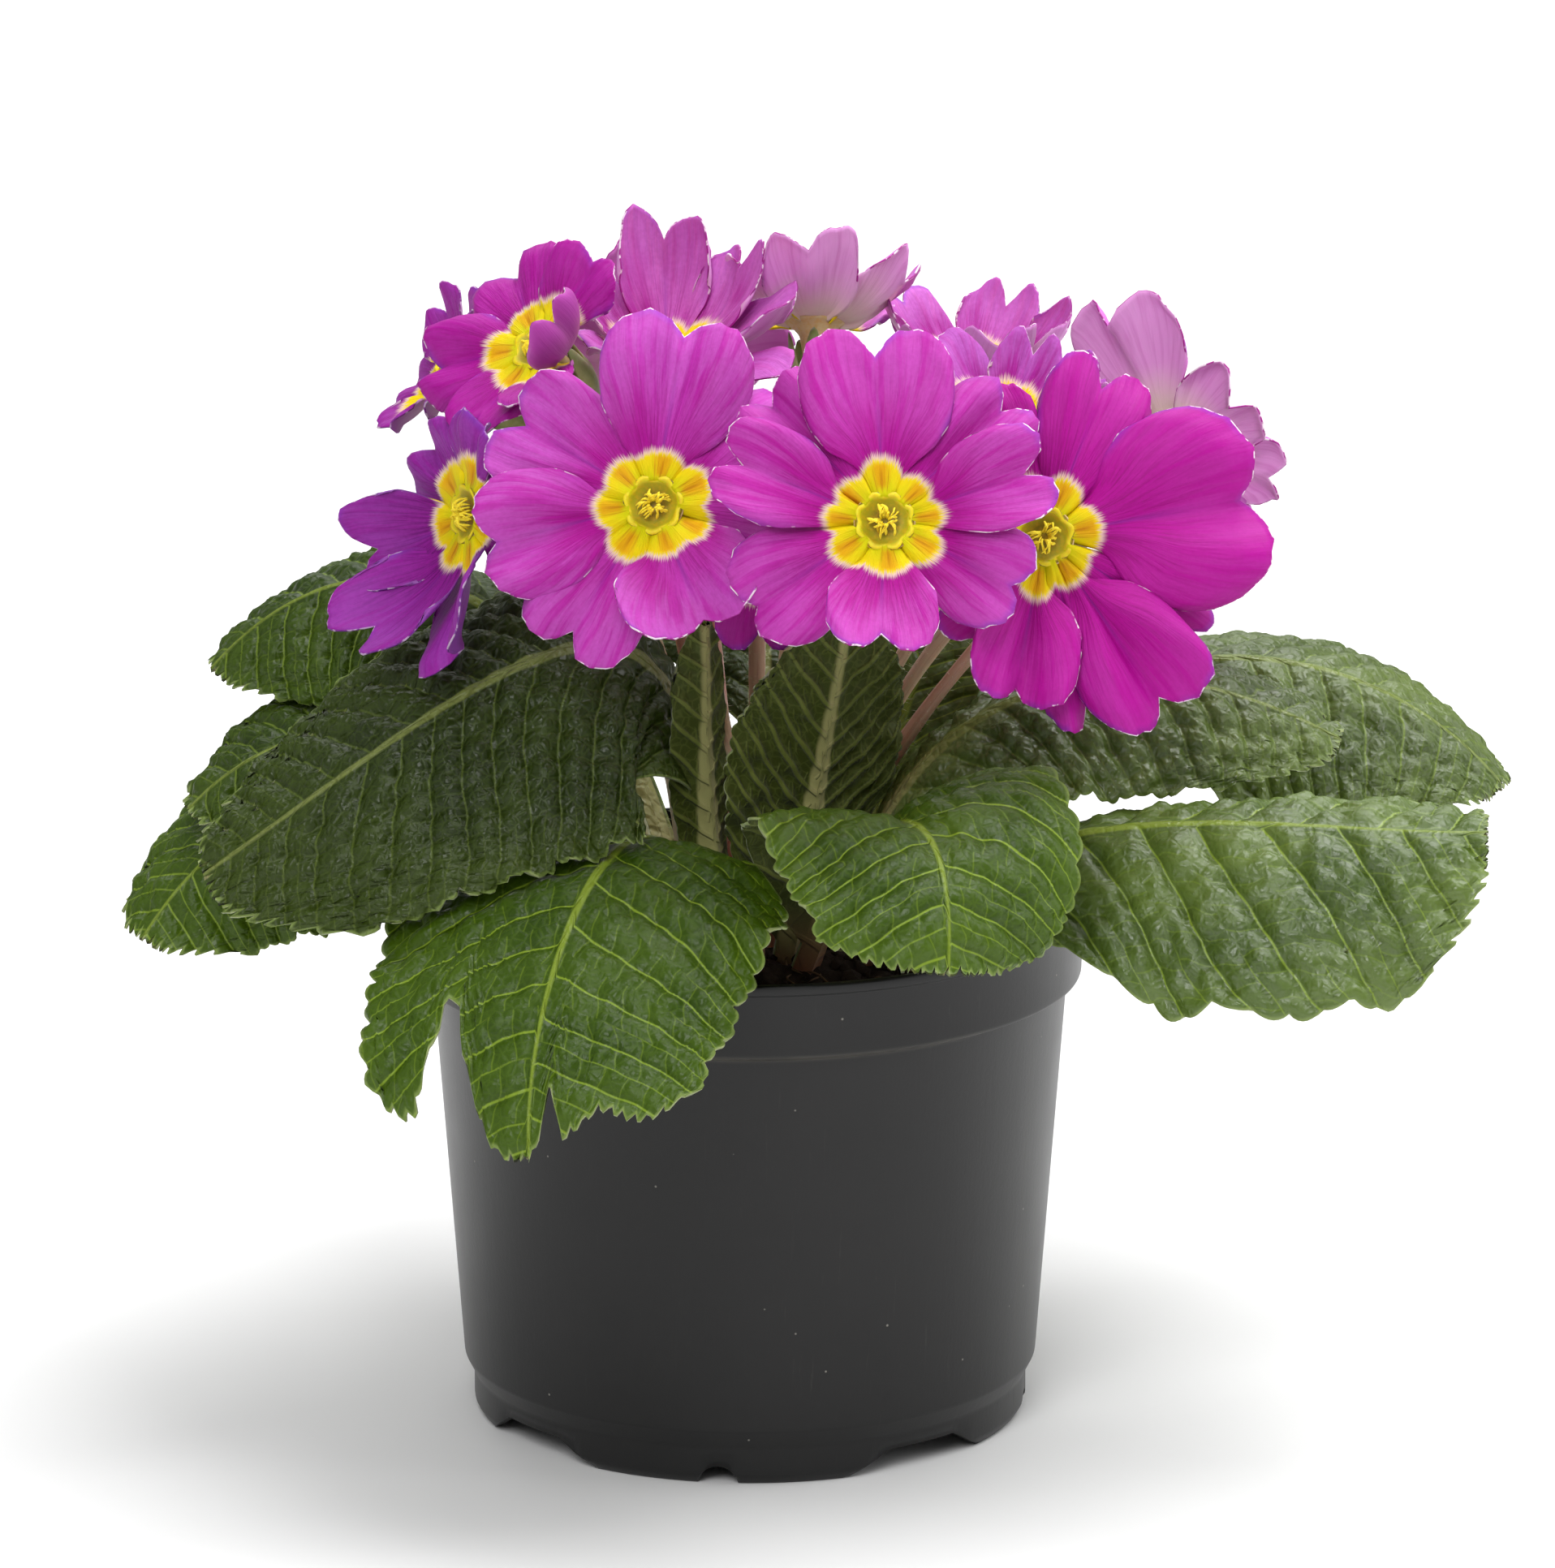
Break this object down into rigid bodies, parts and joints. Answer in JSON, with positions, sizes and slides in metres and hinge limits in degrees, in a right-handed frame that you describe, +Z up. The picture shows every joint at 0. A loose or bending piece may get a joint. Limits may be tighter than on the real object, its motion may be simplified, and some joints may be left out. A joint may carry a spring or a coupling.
{
  "type": "potted primrose",
  "caption": "Potted primrose: magenta blooms with yellow eyes on slim stalks over a rosette of crinkled toothed leaves, in a round black plastic nursery pot.",
  "frame": {"origin": "centre of the pot's foot circle on the surface it stands on, which is the middle of the flat pad under the pot's floor", "axes": "+Z up along the pot's axis; -Y the plant's front, where the large forward blooms face and the cleft leaf hangs over the rim; +X to the right seen from the front, along the widest spread of leaves"},
  "size_m": [0.2172, 0.1784, 0.188],
  "materials": {
    "pot_plastic": "satin",
    "compost": "matte",
    "leaf": "satin",
    "petal": "matte",
    "flower_eye": "matte",
    "flower_stalk": "matte"
  },
  "bodies": {
    "root": {"pot": "pot_plastic", "compost": "compost", "leaf_front_left_big": "leaf", "leaf_front_left_low": "leaf", "leaf_front_middle": "leaf", "leaf_right_low": "leaf", "leaf_right_high": "leaf", "leaf_right_far": "leaf", "leaf_left_far": "leaf", "leaf_left_middle": "leaf", "leaf_left_low": "leaf", "leaf_upright_middle": "leaf", "leaf_upright_left": "leaf", "leaf_upright_right": "leaf", "leaf_back_left": "leaf", "leaf_back_middle": "leaf", "leaf_back_right": "leaf", "petals_front_left": "petal", "eye_front_left": "flower_eye", "stalk_front_left": "flower_stalk", "petals_front_middle": "petal", "eye_front_middle": "flower_eye", "stalk_front_middle": "flower_stalk", "petals_front_right": "petal", "eye_front_right": "flower_eye", "stalk_front_right": "flower_stalk", "petals_left_low": "petal", "eye_left_low": "flower_eye", "stalk_left_low": "flower_stalk", "petals_left_high": "petal", "eye_left_high": "flower_eye", "stalk_left_high": "flower_stalk", "petals_top_left": "petal", "eye_top_left": "flower_eye", "stalk_top_left": "flower_stalk", "petals_top_middle": "petal", "eye_top_middle": "flower_eye", "stalk_top_middle": "flower_stalk", "petals_right_high": "petal", "eye_right_high": "flower_eye", "stalk_right_high": "flower_stalk", "petals_right_top": "petal", "eye_right_top": "flower_eye", "stalk_right_top": "flower_stalk", "petals_right_far": "petal", "eye_right_far": "flower_eye", "stalk_right_far": "flower_stalk", "petals_left_far": "petal", "eye_left_far": "flower_eye", "stalk_left_far": "flower_stalk", "petals_middle_low": "petal", "eye_middle_low": "flower_eye", "stalk_middle_low": "flower_stalk", "petals_back": "petal", "eye_back": "flower_eye", "stalk_back": "flower_stalk"}
  },
  "joints": []
}
